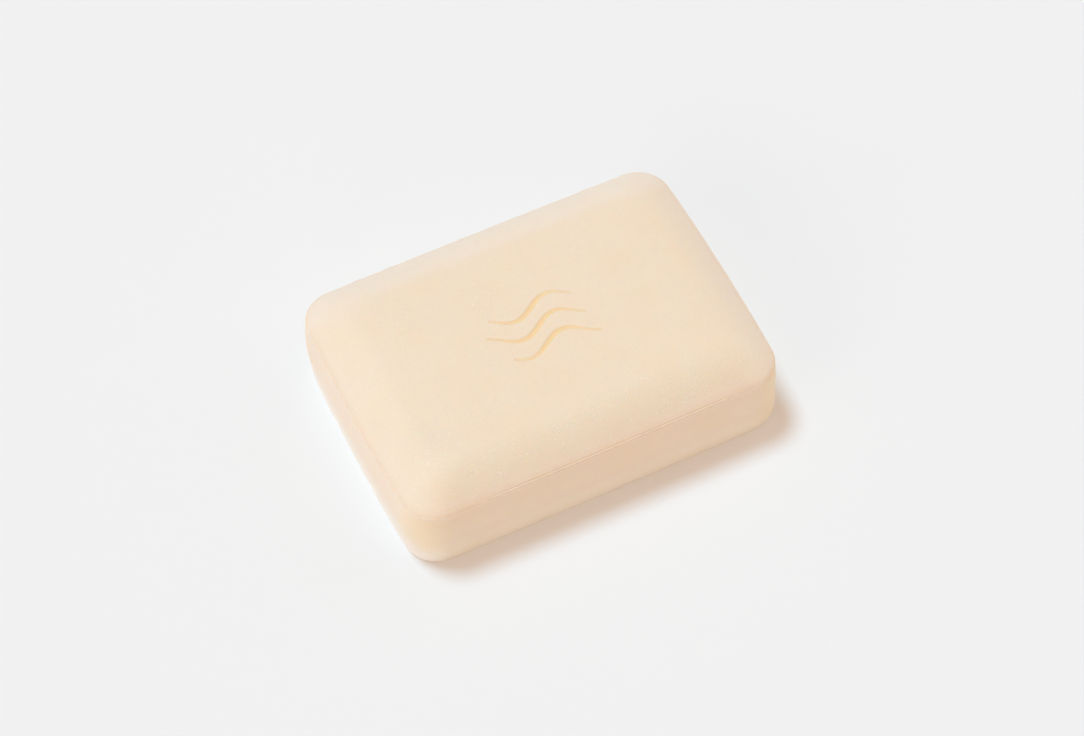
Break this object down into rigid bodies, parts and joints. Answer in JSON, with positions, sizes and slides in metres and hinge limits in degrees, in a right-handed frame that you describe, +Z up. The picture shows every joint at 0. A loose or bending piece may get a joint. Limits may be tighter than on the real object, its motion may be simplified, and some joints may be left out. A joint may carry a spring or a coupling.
{
  "type": "shampoo bar",
  "caption": "Solid shampoo bar: a pressed rounded block with a flat base, a straight side band, a fine seam ridge and a domed top.",
  "frame": {"origin": "middle of the flat base, on the surface that the bar lies on", "axes": "+Z up out of the domed top; X along the bar's longest way; Y across its width"},
  "size_m": [0.0706, 0.0502, 0.0188],
  "materials": {
    "soap": null
  },
  "bodies": {
    "root": {"shampoo_bar": "soap"}
  },
  "joints": []
}
